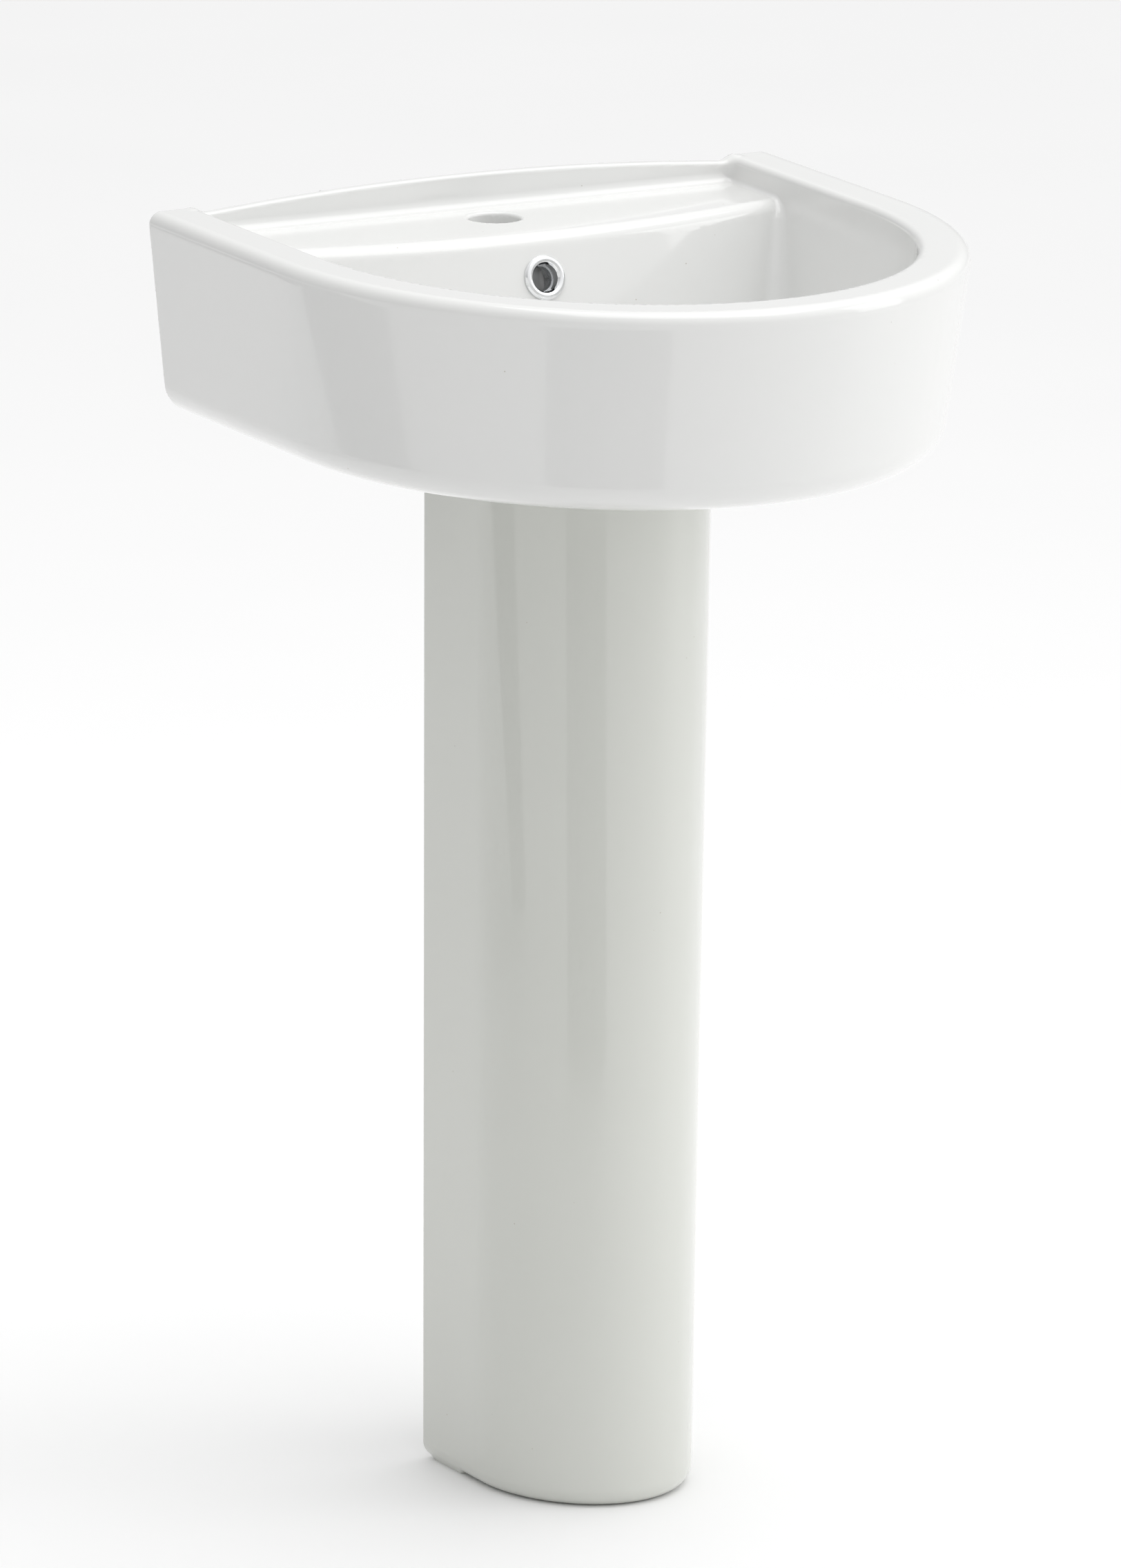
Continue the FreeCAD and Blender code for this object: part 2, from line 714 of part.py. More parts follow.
def make_waste():
    plate = S.flange_top - S.flange_plate
    mouth = S.flange_top - S.mouth_depth
    body = make_turned("waste_flange", [
        (S.tail_bore, S.tail_end), (S.tail_radius, S.tail_end),
        (S.tail_radius, S.collar_bottom), (S.collar_radius, S.collar_bottom),
        (S.collar_radius, plate), (S.flange_radius, plate), (S.flange_radius, plate + 1),
        (S.flange_radius - 2, S.flange_top), (S.mouth_radius, S.flange_top),
        (S.tail_bore, mouth)], **AT_WASTE)
    slots = new_sketch(body, "slot_outline", "XZ_Plane")
    low, high = S.channel_bottom + 2, S.channel_bottom + S.channel_height + 2
    polygon(slots, [(-S.slot_width, low), (S.slot_width, low),
                    (S.slot_width, high), (-S.slot_width, high)])
    pocket(body, "slots", slots, S.tail_radius * 2 + 2, middle=True)
    ribs = new_sketch(body, "rib_outline", "XY_Plane", S.hub_bottom)
    half = S.rib_thickness / 2
    reach = (S.tail_bore + S.tail_radius) / 2
    polygon(ribs, [(-reach, -half), (reach, -half), (reach, half), (-reach, half)])
    pad(body, "ribs", ribs, S.hub_height)
    cylinder(body, "hub", (0, 0, S.hub_bottom), S.hub_radius, S.hub_height)
    cylinder(body, "hub_bore", (0, 0, S.hub_bottom - 1), S.cartridge_radius, S.hub_height + 2,
             cut=True)

    around_tail = S.tail_radius + 0.2
    washer_top = S.boss_bottom
    washer_low = washer_top - S.cone_washer
    slip_low = washer_low - S.slip_washer
    make_ring("waste_upper_washer", S.collar_radius + 0.1, S.flange_radius - 1,
              plate - S.washer_plate, plate, **AT_WASTE)
    make_turned("waste_lower_washer", [
        (around_tail, washer_low), (S.flange_radius - 1, washer_low),
        (S.flange_radius + 4, washer_low + S.cone_washer / 2),
        (S.flange_radius + 4, washer_top), (around_tail, washer_top)], **AT_WASTE)
    make_ring("waste_slip_washer", around_tail, S.flange_radius - 1, slip_low, washer_low,
              **AT_WASTE)
    nut = new_body("waste_backnut", **AT_WASTE)
    outline = new_sketch(nut, "hexagon", "XY_Plane", slip_low - S.nut_height)
    corner = S.nut_flats / math.sqrt(3)
    polygon(outline, [(corner * math.cos(math.radians(a)), corner * math.sin(math.radians(a)))
                      for a in range(0, 360, 60)])
    pad(nut, "nut", outline, S.nut_height)
    cylinder(nut, "nut_bore", (0, 0, slip_low - S.nut_height - 1), around_tail,
             S.nut_height + 2, cut=True)


def make_plug():
    """The cap, its seal, its stem and piston, and the fixed cartridge and spring below."""
    under = S.flange_top + 0.3
    foot = S.cartridge_top + 0.5
    carrier = S.seal_radius - S.seal_section
    shelf = S.flange_top - S.mouth_depth + 2.3
    rise = S.plug_thickness / 4
    make_turned("waste_plug", [
        (0, foot), (S.plug_neck, foot), (S.plug_neck, shelf), (carrier, shelf),
        (carrier, under), (S.plug_radius, under), (S.plug_radius, under + rise),
        (S.plug_radius * 0.94, under + rise * 2.2), (S.plug_radius * 0.6, under + rise * 3.4),
        (0, under + S.plug_thickness)], **AT_WASTE)
    seal = new_body("plug_seal", **AT_WASTE)
    outline = new_sketch(seal, "section", "XZ_Plane")
    circle(outline, S.seal_radius, under - S.seal_section - 1, S.seal_section)
    feature = seal.newObject("PartDesign::Revolution", "seal")
    feature.Profile = outline
    feature.ReferenceAxis = (outline, ["V_Axis"])
    feature.Angle = FULL_TURN

    piston_top = S.piston_bottom + S.piston_height
    make_turned("plug_stem", [
        (0, S.piston_bottom), (S.piston_radius, S.piston_bottom), (S.piston_radius, piston_top),
        (S.stem_radius, piston_top), (S.stem_radius, foot), (0, foot)], **AT_WASTE)
    floor = S.cartridge_bottom + S.cartridge_floor
    cap = S.cartridge_top - S.cartridge_cap
    hole = S.stem_radius + S.stem_gap
    make_turned("click_cartridge", [
        (0, S.cartridge_bottom), (S.cartridge_radius, S.cartridge_bottom),
        (S.cartridge_radius, S.cartridge_top), (hole, S.cartridge_top), (hole, cap),
        (S.cartridge_bore, cap), (S.cartridge_bore, floor), (0, floor)], **AT_WASTE)

    spring = new_body("cartridge_spring", **AT_WASTE)
    outline = new_sketch(spring, "wire", "XZ_Plane")
    circle(outline, S.spring_radius, floor + S.spring_wire, S.spring_wire)
    coil = spring.newObject("PartDesign::AdditiveHelix", "coil")
    coil.Profile = outline
    coil.ReferenceAxis = (outline, ["V_Axis"])
    coil.Mode = "height-turns-angle"
    height = S.piston_bottom - floor - S.spring_wire * 2
    coil.Height = number(height)
    coil.Turns = number(S.spring_turns)
    bind(coil, "Height", height)
    bind(coil, "Turns", S.spring_turns)


# ---------------------------------------------------------------- overflow trim

def make_overflow_trim():
    y, z = overflow_point(0.0, 0.0)
    place = {"y": y, "z": z, "axis": Vector(1, 0, 0), "angle": 90 - S.overflow_tilt}
    gap = 0.2
    inner = S.trim_bore
    make_turned("overflow_ring", [
        (inner, -S.sleeve_length), (S.sleeve_radius, -S.sleeve_length), (S.sleeve_radius, gap),
        (S.trim_radius, gap), (S.trim_radius, S.trim_rise * 0.4),
        (S.trim_radius * 0.93, S.trim_rise * 0.8), (S.trim_radius * 0.81, S.trim_rise),
        (S.trim_radius * 0.69, S.trim_rise * 0.8), (inner, S.trim_rise * 0.3)], **place)

    outer = inner - 0.05
    thin = outer - S.clip_wall
    bend = -S.sleeve_length - 1
    tip = bend - S.clip_length
    clip = make_turned("overflow_clip", [
        (thin, bend + 5), (outer, bend + 5), (outer, bend), (outer + S.clip_flare, tip),
        (thin + S.clip_flare, tip), (thin, bend)], **place)
    window = new_sketch(clip, "window_outline", "XY_Plane", bend)
    side = (outer - S.clip_leg * math.sqrt(3)) / 2 * 0.9
    polygon(window, [(S.trim_bore / 2, 0.0), (S.trim_radius, -side), (S.trim_radius, side)])
    cut = pocket(clip, "window", window, S.clip_length + 1)
    around(clip, "windows", cut, S.clip_legs)


# ---------------------------------------------------------------- bottle trap

def grip_ribs(body, radius, low, height):
    """One rounded rib on a nut's outside, repeated all the way round."""
    rib = cylinder(body, "rib", (radius, 0, low), S.grip_radius, height)
    around(body, "ribs", rib, S.grip_count)


def make_trap():
    washer_low = S.tail_end - S.joint_washer
    flange_low = washer_low - S.dip_flange_plate
    loose_pipe = S.dip_radius + S.union_clearance
    loose_tail = S.tail_radius + S.union_clearance
    make_ring("trap_inlet_washer", S.dip_bore, S.dip_flange, washer_low, S.tail_end, **AT_WASTE)
    make_turned("trap_dip_tube", [
        (S.dip_bore, S.dip_end), (S.dip_radius, S.dip_end), (S.dip_radius, flange_low),
        (S.dip_flange, flange_low), (S.dip_flange, washer_low), (S.dip_bore, washer_low)],
        **AT_WASTE)
    ledge = flange_low - 0.1
    nut = make_turned("trap_inlet_nut", [
        (loose_pipe, S.union_bottom), (S.union_radius, S.union_bottom),
        (S.union_radius, S.union_top), (loose_tail, S.union_top),
        (loose_tail, ledge), (loose_pipe, ledge)], **AT_WASTE)
    grip_ribs(nut, S.union_radius, S.union_bottom + 2, S.union_top - S.union_bottom - 4)

    head = make_turned("trap_body", [
        (0, S.head_bottom), (S.head_radius, S.head_bottom), (S.head_radius, S.head_top - 5),
        (S.neck_radius + 4, S.head_top), (S.neck_radius, S.head_top),
        (S.neck_radius, S.neck_top), (0, S.neck_top)], **AT_WASTE)
    cylinder(head, "outlet", (0, 0, S.outlet_height), S.outlet_radius,
             S.head_radius + S.outlet_length, lean=-90.0)
    room = S.head_radius - S.head_wall
    turned(head, "room", [
        (0, S.head_bottom - 1), (room, S.head_bottom - 1), (room, S.head_top - 8),
        (loose_pipe + 4, S.head_top - 4), (loose_pipe, S.head_top - 4),
        (loose_pipe, S.neck_top + 1), (0, S.neck_top + 1)], cut=True)
    cylinder(head, "outlet_bore", (0, 0, S.outlet_height), loose_pipe,
             S.head_radius + S.outlet_length + 1, cut=True, lean=-90.0)

    seat = S.head_bottom - S.cup_seal
    collar_bore = S.head_radius + 0.2
    inside = S.cup_radius - S.head_wall
    floor = S.cup_bottom + S.cup_floor
    cup = make_turned("trap_cup", [
        (0, S.cup_bottom), (S.cup_radius - S.cup_round, S.cup_bottom),
        (S.cup_radius, S.cup_bottom + S.cup_round),
        (S.cup_radius, seat - 6), (S.cup_collar, seat - 2), (S.cup_collar, S.cup_top),
        (collar_bore, S.cup_top), (collar_bore, seat), (inside, seat),
        (inside, floor + S.cup_round), (inside - S.cup_round, floor), (0, floor)], **AT_WASTE)
    grip_ribs(cup, S.cup_collar, seat, S.cup_top - seat - 3)
    make_ring("trap_cup_seal", inside + 0.5, S.head_radius, seat, S.head_bottom, **AT_WASTE)

    mouth = S.head_radius + S.outlet_length
    washer_end = mouth + S.joint_washer
    make_ring("trap_outlet_washer", S.spigot_radius + 0.05, S.outlet_radius, mouth, washer_end,
              **AT_OUTLET)
    loose_outlet = S.outlet_radius + S.union_clearance
    nut_end = washer_end + S.outlet_nut_lip
    nut_start = nut_end - S.outlet_nut_length
    ledge = washer_end + 0.1
    nut = make_turned("trap_outlet_nut", [
        (loose_outlet, nut_start), (S.outlet_nut_radius, nut_start),
        (S.outlet_nut_radius, nut_end), (loose_pipe, nut_end), (loose_pipe, ledge),
        (loose_outlet, ledge)], **AT_OUTLET)
    grip_ribs(nut, S.outlet_nut_radius, nut_start + 2, S.outlet_nut_length - 4)
    start = mouth - S.pipe_entry
    shoulder = nut_end + 2
    make_turned("waste_pipe", [
        (S.pipe_bore, start), (S.spigot_radius, start), (S.spigot_radius, shoulder),
        (S.pipe_radius, shoulder), (S.pipe_radius, S.waste_depth),
        (S.pipe_bore, S.waste_depth)], **AT_OUTLET)


# ---------------------------------------------------------------- build, check and write

def check_all():
    for thing in doc.Objects:
        bad = {"Invalid", "Error"} & set(thing.State)
        if bad:
            raise RuntimeError(f"{thing.Label} failed: {sorted(bad)}")
    for body in SUBPARTS:
        if body.Shape.isNull() or not body.Shape.isValid():
            raise RuntimeError(f"{body.Label} has no valid shape")


def write_all():
    os.makedirs("parts", exist_ok=True)
    for body in SUBPARTS:
        body.Shape.exportStep(f"parts/{body.Label}.step")
        litres = body.Shape.Volume / 1e6
        print(f"{body.Label}: {len(body.Shape.Solids)} solid, {litres:.4f} litres")


make_basin()
make_pedestal()
make_overflow_trim()
make_waste()
make_plug()
make_trap()
doc.recompute()
check_all()
write_all()
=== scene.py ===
"""Looks of the pedestal sink: glazed basin and pedestal, chrome trims, waste and bottle trap.

Shapes are worked out in millimetres as distance functions (below zero inside the piece), then
turned into meshes in metres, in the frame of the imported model."""
import json
import math

import bmesh
import bpy
import numpy as np
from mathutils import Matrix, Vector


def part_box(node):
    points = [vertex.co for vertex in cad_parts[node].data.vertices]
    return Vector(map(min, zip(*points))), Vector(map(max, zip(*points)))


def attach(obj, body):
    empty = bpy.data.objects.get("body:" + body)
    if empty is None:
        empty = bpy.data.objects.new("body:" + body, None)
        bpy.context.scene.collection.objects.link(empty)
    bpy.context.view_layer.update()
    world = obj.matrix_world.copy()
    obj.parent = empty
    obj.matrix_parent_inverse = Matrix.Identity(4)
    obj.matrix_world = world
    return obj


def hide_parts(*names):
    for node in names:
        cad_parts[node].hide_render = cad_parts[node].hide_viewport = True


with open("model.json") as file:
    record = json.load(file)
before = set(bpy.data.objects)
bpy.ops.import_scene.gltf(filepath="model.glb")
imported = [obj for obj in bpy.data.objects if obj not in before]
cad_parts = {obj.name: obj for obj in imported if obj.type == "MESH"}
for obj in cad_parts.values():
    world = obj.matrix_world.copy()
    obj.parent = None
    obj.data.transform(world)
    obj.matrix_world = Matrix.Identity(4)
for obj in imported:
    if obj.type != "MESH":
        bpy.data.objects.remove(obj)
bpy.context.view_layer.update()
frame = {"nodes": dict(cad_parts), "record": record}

import openvdb
from mathutils import Matrix, Vector

MM = 0.001


def box_mm(node):
    """Lowest and highest corner of a CAD node, in millimetres."""
    return tuple(np.array(corner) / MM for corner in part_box(node))


BASIN_LOW, BASIN_HIGH = box_mm("basin")
PEDESTAL_LOW, PEDESTAL_HIGH = box_mm("pedestal")
WASTE_LOW, WASTE_HIGH = box_mm("waste_flange")
PIPE_LOW, PIPE_HIGH = box_mm("waste_pipe")

WALL = BASIN_HIGH[1]
HALF_WIDTH = BASIN_HIGH[0]
WASTE_Y = (WASTE_LOW[1] + WASTE_HIGH[1]) / 2
OUTLET_Z = (PIPE_LOW[2] + PIPE_HIGH[2]) / 2

# basin, millimetres above the floor or across the piece
RIM = 850.0
SHOULDER = 840.0
DECK = 833.0
SKIRT = 713.0
BOWL_FLOOR = 716.0
SIDE_LENGTH = 178.0
SIDE_INSET = 14.0
FRONT_INSET = 24.0
RIM_WIDTH = 34.5
CENTRE = WALL - SIDE_LENGTH
REACH = CENTRE - BASIN_LOW[1]
DISH_RADIUS = 105.0
DISH_DROP = 6.0
FLOOR_ROUND = 20.0
FLANGE_SEAT = 34.0
BOWL_EDGE = 74.5
BOWL_BOW = 30.0
SKIN = 13.0
BACK_WALL = 14.0
SHELL = 12.0
LIP_WIDTH = 34.0
LIP = 12.0
BOSS_RADIUS = 42.0
TAP_Y = WALL - 44.0
TAP_RADIUS = 17.5
TAP_END = 800.0                 # the hole is cut down to this height
OVERFLOW = (WALL - 113.0, 805.0)
OVERFLOW_LEAN = math.radians(17.0)
OVERFLOW_RADIUS = 11.0
BOLT = (140.0, 785.0, 7.0)      # across, height, radius
BOLT_DEPTH = 30.0
WASTE_HOLE = 23.0
UPSTAND_END = 845.5
UPSTAND_DEPTH = 8.0
UPSTAND_OVERLAP = 6.0           # how far it is sunk into the deck
DECK_FRONT = 117.0              # where the deck's plate ends under the bowl's edge
RIM_ROUND = 10.0
SKIRT_ROUND = 20.0
WALL_ROUND = 2.5
SMALL_ROUND = 1.5
COVE = 8.0
SEAT_WIDTH = 12.0               # width of the rib that stands on the pedestal
DRAWS = (26.0, 30.0, 36.0)      # how far the bowl closes in: sides, front, back
DUCT = {"half": 24.0, "near": 8.0, "far": 34.0, "top": -22.0,
        "front": WASTE_Y + 20, "low": BASIN_LOW[2], "high": 710.0}
CHANNEL = {"half": 13.0, "near": 12.0, "far": 24.0, "top": -14.0,
           "front": WASTE_Y + 15, "low": 684.0, "high": 698.0}
DUCT_BACK = 116.0

# pedestal
PEDESTAL_SIDE = 76.0
PEDESTAL_TAPER = 6.0
PEDESTAL_WALL = 12.0
FOOT_THICKENING = 10.0
FOOT_HEIGHT = 40.0
FOOT_ROUND = 12.0
SLOT_HALF = 47.0
SLOT_FRONT = 90.0
LUG_ACROSS = (35.0, 69.0)
LUG_DEPTH = (86.5, 121.5)
LUG_TOP = 14.0
SCREW = (48.0, 103.5, 4.0)      # across, depth, radius

# waste and trap
FLANGE_TOP = 714.0
FLANGE_RADIUS = 32.0
COLLAR_RADIUS = 22.6
TAIL_RADIUS = 20.7
TAIL_BORE = 17.5
TAIL_END = 640.0
CARTRIDGE_HOLE = 8.0
NUT_HOLE = 20.9
PIPE_HOLE = 16.3
GRIP_COUNT = 16
GRIP_SIZE = 1.6


# ---------------------------------------------------------------- distance functions

def meet(a, b, radius):
    """What lies inside both a and b, with the edge between them rounded."""
    across = np.maximum(a + radius, 0.0)
    along = np.maximum(b + radius, 0.0)
    return np.minimum(np.maximum(a, b), -radius) + np.hypot(across, along)


def join(a, b, radius):
    """What lies inside a or b, with the corner between them filled by a cove."""
    return -meet(-a, -b, radius)


def cut(a, b, radius):
    """What lies inside a but not b."""
    return meet(a, -b, radius)


def slab(value, low, high):
    return np.maximum(low - value, value - high)


def soft_floor(value, width):
    """The value where it is positive, easing to zero below."""
    return (value + np.sqrt(value * value + width * width)) / 2


def plan_distance(x, y, half, reach, centre=CENTRE):
    """Distance outside a D seen from above: straight sides, and a half-ellipse front."""
    across = np.abs(x) + 1e-6
    ahead = np.minimum(y - centre, 0.0)
    share = np.sqrt((across / half) ** 2 + (ahead / reach) ** 2)
    slope = np.sqrt((across / half ** 2) ** 2 + (ahead / reach ** 2) ** 2)
    return (share - 1.0) * share / slope


def outer_distance(x, y, z):
    """The basin's outside wall, without its top, underside or back."""
    share = (SHOULDER - z) / (SHOULDER - SKIRT)
    return plan_distance(x, y, HALF_WIDTH - SIDE_INSET * share, REACH - FRONT_INSET * share)


def deck_block(x, y, z):
    """The tap deck and all that lies behind the bowl's bowed back wall."""
    depth = soft_floor(DECK - z, 5.0) / (DECK - BOWL_FLOOR)
    half = HALF_WIDTH - RIM_WIDTH
    radius = (half ** 2 + BOWL_BOW ** 2) / (2 * BOWL_BOW)
    edge = WALL - BOWL_EDGE - DRAWS[2] * depth - BOWL_BOW
    behind = np.hypot(x, y - edge - radius) - radius
    return meet(z - DECK, behind, 8.0)


def bowl_space(x, y, z):
    """The open space above the deck and inside the bowl."""
    depth = soft_floor(DECK - z, 5.0) / (DECK - BOWL_FLOOR)
    side = plan_distance(x, y, HALF_WIDTH - RIM_WIDTH - DRAWS[0] * depth,
                         REACH - RIM_WIDTH - DRAWS[1] * depth)
    away = (np.hypot(x, y - WASTE_Y) - FLANGE_SEAT) / (DISH_RADIUS - FLANGE_SEAT)
    away = np.clip(away, 0.0, 1.0)
    floor = BOWL_FLOOR - DISH_DROP * (1.0 - away * away * (3.0 - 2.0 * away))
    room = meet(side, floor - z, FLOOR_ROUND)
    corner = np.interp(z, (BOWL_FLOOR, 750.0, 790.0, 822.0, DECK), (20.0, 18.0, 14.0, 10.0, 4.0))
    return cut(room, deck_block(x, y, z), corner)


def upstand(x, y, z):
    """The low arched wall along the back of the deck."""
    half = HALF_WIDTH - RIM_WIDTH + 5.0
    crown = BASIN_HIGH[2]
    top = crown - (crown - UPSTAND_END) * (x / half) ** 2
    face = WALL - UPSTAND_DEPTH - y
    wall = np.maximum(np.maximum(np.abs(x) - half, face), DECK - UPSTAND_OVERLAP - z)
    return meet(wall, z - top, WALL_ROUND)


def overflow_axes(y, z):
    """How far a point lies down the bowl's back wall from the overflow, and behind that wall."""
    dy, dz = y - OVERFLOW[0], z - OVERFLOW[1]
    along = -dy * math.sin(OVERFLOW_LEAN) - dz * math.cos(OVERFLOW_LEAN)
    behind = dy * math.cos(OVERFLOW_LEAN) - dz * math.sin(OVERFLOW_LEAN)
    return along, behind


def duct(x, y, z, half, near, far, top, front, low, high):
    """A flat pipe down behind the bowl's wall and then forward under its floor."""
    along, behind = overflow_axes(y, z)
    fall = np.maximum(np.maximum(slab(behind, near, far), top - along), low - z)
    run = np.maximum(slab(z, low, high), slab(y, front, DUCT_BACK))
    return meet(np.minimum(fall, run), np.abs(x) - half, 5.0)


def pedestal_plan(x, y, share=1.0):
    """Distance outside the pedestal's D, at a share of its height."""
    half = PEDESTAL_HIGH[0] - PEDESTAL_TAPER * (1.0 - share)
    centre = PEDESTAL_HIGH[1] - PEDESTAL_SIDE
    reach = centre - PEDESTAL_LOW[1]
    return plan_distance(x, y, half, reach, centre)


def basin_underside(x, y, z, outer, space):
    """The hollow below the deck and round the outside of the bowl."""
    lid = z - (RIM - SHELL)
    room = np.maximum(meet(outer + SKIN, lid, 6.0), SKIRT + LIP - z)
    mouth = np.maximum(outer + LIP_WIDTH, lid)
    hollow = np.maximum(np.minimum(room, mouth), y - WALL + BACK_WALL)
    hollow = np.maximum(hollow, -np.maximum(slab(z, DECK - BACK_WALL, RIM), DECK_FRONT - y))
    return cut(hollow, space - SHELL, 8.0)


def basin_distance(x, y, z):
    outer = outer_distance(x, y, z)
    space = bowl_space(x, y, z)
    body = meet(meet(outer, SKIRT - z, SKIRT_ROUND), z - RIM, RIM_ROUND)
    body = meet(body, y - WALL, WALL_ROUND)
    body = cut(body, basin_underside(x, y, z, outer, space), 4.0)

    to_waste = np.hypot(x, y - WASTE_Y)
    shell = np.maximum(np.maximum(space - SHELL, z - SHOULDER), outer + SKIN - 2.0)
    boss = meet(to_waste - BOSS_RADIUS, BASIN_LOW[2] - z, 3.0)
    shell = join(shell, np.maximum(boss, z - BOWL_FLOOR), COVE)
    shell = join(shell, duct(x, y, z, **DUCT), 5.0)
    seat = np.maximum(pedestal_plan(x, y), y - PEDESTAL_HIGH[1])
    ring = np.maximum(np.maximum(seat, -seat - SEAT_WIDTH), slab(z, PEDESTAL_HIGH[2], BOWL_FLOOR))
    shell = join(shell, ring, 4.0)
    body = join(body, shell, 6.0)
    body = cut(body, space, 5.0)
    body = join(body, np.maximum(upstand(x, y, z), y - WALL), COVE)
    body = np.maximum(body, y - WALL)

    body = cut(body, duct(x, y, z, **CHANNEL), 1.0)
    body = cut(body, to_waste - WASTE_HOLE, SMALL_ROUND)
    tap = np.maximum(np.hypot(x, y - TAP_Y) - TAP_RADIUS, TAP_END - z)
    body = cut(body, tap, 2.5)
    along, behind = overflow_axes(y, z)
    hole = np.maximum(np.hypot(x, along) - OVERFLOW_RADIUS, slab(behind, -14.0, 15.0))
    body = cut(body, hole, SMALL_ROUND)
    bolt = np.hypot(np.abs(x) - BOLT[0], z - BOLT[1]) - BOLT[2]
    return cut(body, np.maximum(bolt, WALL - BOLT_DEPTH - y), SMALL_ROUND)


def pedestal_distance(x, y, z):
    share = z / PEDESTAL_HIGH[2]
    outer = meet(pedestal_plan(x, y, share), y - PEDESTAL_HIGH[1], 4.0)
    foot = PEDESTAL_LOW[2]
    body = meet(meet(outer, foot - z, FOOT_ROUND), z - PEDESTAL_HIGH[2], 3.0)
    wall = PEDESTAL_WALL + FOOT_THICKENING * np.clip((FOOT_HEIGHT - z) / FOOT_HEIGHT, 0.0, 1.0)
    room = pedestal_plan(x, y, share) + wall
    room = meet(room, y - PEDESTAL_HIGH[1] + PEDESTAL_WALL, 8.0)
    slot = np.maximum(np.abs(x) - SLOT_HALF, SLOT_FRONT - y)
    body = cut(body, join(room, slot, 4.0), 3.0)
    plate = np.maximum(slab(np.abs(x), *LUG_ACROSS), slab(y, *LUG_DEPTH))
    lug = np.maximum(meet(plate, z - LUG_TOP, 3.0), foot - z)
    body = join(body, lug, 5.0)
    screw = np.hypot(np.abs(x) - SCREW[0], y - SCREW[1]) - SCREW[2]
    return cut(body, np.maximum(screw, z - 30.0), 1.0)


# ---------------------------------------------------------------- waste and trap

def radial(x, y):
    return np.hypot(x, y - WASTE_Y)


def ribs(x, y, radius):
    """Round ribs standing on a drum, evenly spaced about its axis."""
    step = 2 * math.pi / GRIP_COUNT
    angle = np.arctan2(y, x)
    angle = (angle + step / 2) % step - step / 2
    reach = np.hypot(x, y)
    return np.hypot(reach * np.cos(angle) - radius, reach * np.sin(angle)) - GRIP_SIZE


def drum(reach, z, radius, low, high, edge):
    return meet(meet(reach - radius, z - high, edge), low - z, edge)


def flange_distance(x, y, z):
    reach = radial(x, y)
    body = join(drum(reach, z, TAIL_RADIUS, TAIL_END, 713.0, 0.8),
                drum(reach, z, COLLAR_RADIUS, 703.0, 713.0, 0.3), 0.5)
    plate = meet(meet(reach - FLANGE_RADIUS, 711.5 - z, 0.4), z - FLANGE_TOP, 1.6)
    body = join(body, plate, 1.0)
    body = cut(body, reach - TAIL_BORE, 1.0)
    mouth = reach - TAIL_BORE - (z - 707.0) * 5.0 / 7.0
    body = cut(body, np.maximum(mouth, 705.0 - z), 1.5)
    slot = np.maximum(np.abs(x) - 12.0, slab(z, 686.0, 700.0))
    body = cut(body, slot, 1.0)
    hub = np.minimum(reach - 10.5, np.maximum(np.abs(y - WASTE_Y) - 1.75, reach - 19.0))
    hub = meet(hub, slab(z, 684.0, 693.0), 0.6)
    return cut(join(body, hub, 1.2), reach - CARTRIDGE_HOLE, 0.4)


def backnut_distance(x, y, z):
    reach = radial(x, y)
    flats = np.full_like(reach, -1e3)
    for turn in (30.0, 90.0, 150.0):
        angle = math.radians(turn)
        flats = np.maximum(flats, np.abs(x * math.cos(angle) + (y - WASTE_Y) * math.sin(angle)))
    body = meet(flats - 27.0, slab(z, 651.5, 662.5), 0.5)
    body = np.maximum(body, (reach - 29.5 + (np.abs(z - 657.0) - 5.5) * 1.7) * 0.5)
    return cut(body, reach - NUT_HOLE, 0.8)


def inlet_nut_distance(x, y, z):
    reach = radial(x, y)
    body = drum(reach, z, 26.0, 627.0, 651.0, 2.0)
    grip = meet(ribs(x, y - WASTE_Y, 25.6), slab(z, 629.0, 649.0), 1.0)
    body = join(body, grip, 1.0)
    body = cut(body, reach - PIPE_HOLE, 0.8)
    return cut(body, np.maximum(reach - 21.0, 634.9 - z), 0.8)


def trap_head_distance(x, y, z):
    reach = radial(x, y)
    body = meet(meet(reach - 31.0, z - 604.0, 9.0), 541.0 - z, 0.6)
    body = join(body, drum(reach, z, 20.0, 590.0, 626.5, 1.0), 4.0)
    to_outlet = np.hypot(x, z - OUTLET_Z)
    outlet = meet(to_outlet - 20.0, y - WASTE_Y - 57.0, 1.0)
    body = join(body, np.maximum(outlet, WASTE_Y - y), 4.0)
    body = cut(body, meet(reach - 28.0, z - 598.0, 6.0), 0.8)
    body = cut(body, reach - PIPE_HOLE, 0.8)
    return cut(body, np.maximum(to_outlet - PIPE_HOLE, WASTE_Y - y), 0.8)


def cup_distance(x, y, z):
    reach = radial(x, y)
    body = meet(meet(reach - 30.5, 470.0 - z, 9.0), z - 553.0, 1.0)
    collar = drum(reach, z, 37.0, 537.0, 554.0, 2.0)
    grip = meet(ribs(x, y - WASTE_Y, 36.6), slab(z, 539.0, 551.0), 1.0)
    body = join(body, join(collar, grip, 1.0), 4.0)
    body = cut(body, meet(reach - 27.5, 473.0 - z, 8.0), 0.8)
    return cut(body, np.maximum(reach - 31.2, 539.0 - z), 0.8)


